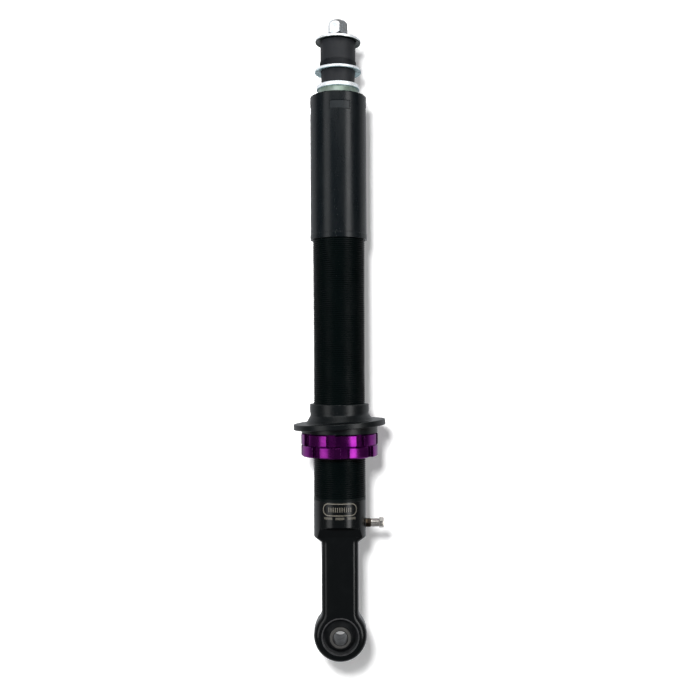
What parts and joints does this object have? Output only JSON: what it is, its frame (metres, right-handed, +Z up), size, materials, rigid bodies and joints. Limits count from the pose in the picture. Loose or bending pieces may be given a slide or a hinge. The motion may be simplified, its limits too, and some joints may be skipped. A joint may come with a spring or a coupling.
{
  "type": "coilover",
  "caption": "Monotube strut damper with a threaded body, adjustable tilted spring seat and locking rings, bonded lower eye, dust cover and rubber-bushed top stem; no coil spring.",
  "frame": {"origin": "centre of the lower eye's inner sleeve, where the mounting bolt's axis crosses the strut's axis", "axes": "+Z up the strut to the top stem, Y along the lower mounting bolt, +X towards the gas valve"},
  "size_m": [0.092, 0.092, 0.6389],
  "materials": {
    "dark_thread": "black-plated steel with a fine thread, satin",
    "coated_forging": "black electro-coated forging, semi-gloss",
    "nitrile": "black nitrile, oiled",
    "machined_aluminium": "turned, clear anodised",
    "spring_steel": "ground spring steel",
    "bronze": "dull bronze",
    "dark_steel": "phosphated steel",
    "bush_rubber": "matt natural rubber, moulded",
    "grey_steel": "turned steel, dull zinc",
    "slide_band": "filled PTFE",
    "hard_chrome": "ground hard chrome",
    "zinc": "bright zinc plating",
    "nut_zinc": "bright zinc plating, polished",
    "foam": "cellular polyurethane",
    "cover_shell": "satin black powder-coated tube",
    "black_plastic": "moulded nylon",
    "zinc_collar": "dull zinc plating, faintly green",
    "nylon": "white nylon",
    "black_anodised": "turned aluminium, black anodised",
    "purple_anodised": "turned aluminium, purple anodised",
    "nickel": "bright nickel plating"
  },
  "bodies": {
    "damper_body": {"body_tube": "dark_thread", "lower_mount": "coated_forging", "mount_oring": "nitrile", "gland": "machined_aluminium", "gland_oring": "nitrile", "gland_clip": "spring_steel", "guide_bush": "bronze", "rod_seal": "nitrile", "rod_wiper": "nitrile", "bush_outer_sleeve": "dark_steel", "bush_rubber": "bush_rubber", "valve_body": "bronze", "valve_oring": "nitrile"},
    "bush_sleeve": {"bush_inner_sleeve": "grey_steel"},
    "piston_carrier": {"piston_band": "slide_band"},
    "rod": {"piston_rod": "hard_chrome", "piston": "machined_aluminium", "compression_shims": "spring_steel", "rebound_shims": "spring_steel", "piston_nut": "zinc", "rebound_stop": "slide_band", "bump_stop": "foam", "bump_cup": "dark_steel", "dust_cover": "cover_shell", "cover_cap": "black_plastic", "cover_collar": "zinc_collar", "bottom_washer": "zinc", "lower_bush": "bush_rubber", "mid_washer": "zinc", "upper_bush": "bush_rubber", "top_washer": "zinc", "spacer_sleeve": "grey_steel", "top_nut": "nut_zinc", "nut_insert": "nylon"},
    "gas_divider": {"floating_piston": "machined_aluminium", "floating_band": "slide_band", "floating_oring": "nitrile"},
    "seat": {"spring_seat": "black_anodised"},
    "height_ring": {"adjuster_ring": "purple_anodised"},
    "jam_ring": {"lock_ring": "purple_anodised"},
    "valve_cap_seal": {"cap_seal": "nitrile"},
    "valve_cap_body": {"valve_cap": "nickel"},
    "valve_pin_body": {"valve_pin": "bronze"}
  },
  "joints": [
    {"name": "eye_twist", "type": "hinge", "parent": "damper_body", "child": "bush_sleeve", "pos_m": [0, 0, 0], "axis": [0, 1, 0], "range_deg": [-20, 20], "stiffness_Nm_per_rad": 20},
    {"name": "stroke", "type": "slide", "parent": "damper_body", "child": "piston_carrier", "axis": [0, 0, 1], "range_m": [-0.11, 0], "stiffness_N_per_m": 1000, "springref_m": 0.25, "deforming": ["bump_stop"]},
    {"name": "rod_turn", "type": "hinge", "parent": "piston_carrier", "child": "rod", "pos_m": [0, 0, 0], "axis": [0, 0, 1], "continuous": true},
    {"name": "divider_slide", "type": "slide", "parent": "damper_body", "child": "gas_divider", "axis": [0, 0, 1], "range_m": [-0.0215, 0.0005]},
    {"name": "seat_height", "type": "slide", "parent": "damper_body", "child": "seat", "axis": [0, 0, 1], "range_m": [-0.0301, 0.0401]},
    {"name": "adjuster_turn", "type": "hinge", "parent": "seat", "child": "height_ring", "pos_m": [0, 0, 0.19], "axis": [0, 0, 1], "range_deg": [-5400, 7200]},
    {"name": "lock_turn", "type": "hinge", "parent": "seat", "child": "jam_ring", "pos_m": [0, 0, 0.18], "axis": [0, 0, 1], "range_deg": [-5401, 7201]},
    {"name": "cap_travel", "type": "slide", "parent": "damper_body", "child": "valve_cap_seal", "axis": [1, 0, 0], "range_m": [0, 0.00397]},
    {"name": "cap_turn", "type": "hinge", "parent": "valve_cap_seal", "child": "valve_cap_body", "pos_m": [0, 0, 0.1105], "axis": [1, 0, 0], "range_deg": [0, 1800]},
    {"name": "pin_press", "type": "slide", "parent": "damper_body", "child": "valve_pin_body", "axis": [1, 0, 0], "range_m": [-0.0012, 0], "stiffness_N_per_m": 1000, "springref_m": 0.0005}
  ],
  "couplings": [
    {"joint": "divider_slide", "follows": "stroke", "ratio": 0.18904},
    {"joint": "seat_height", "follows": "adjuster_turn", "m_per_rad": 0.00031831},
    {"joint": "lock_turn", "follows": "adjuster_turn", "ratio": 1},
    {"joint": "cap_turn", "follows": "cap_travel", "rad_per_m": 7913.3}
  ]
}
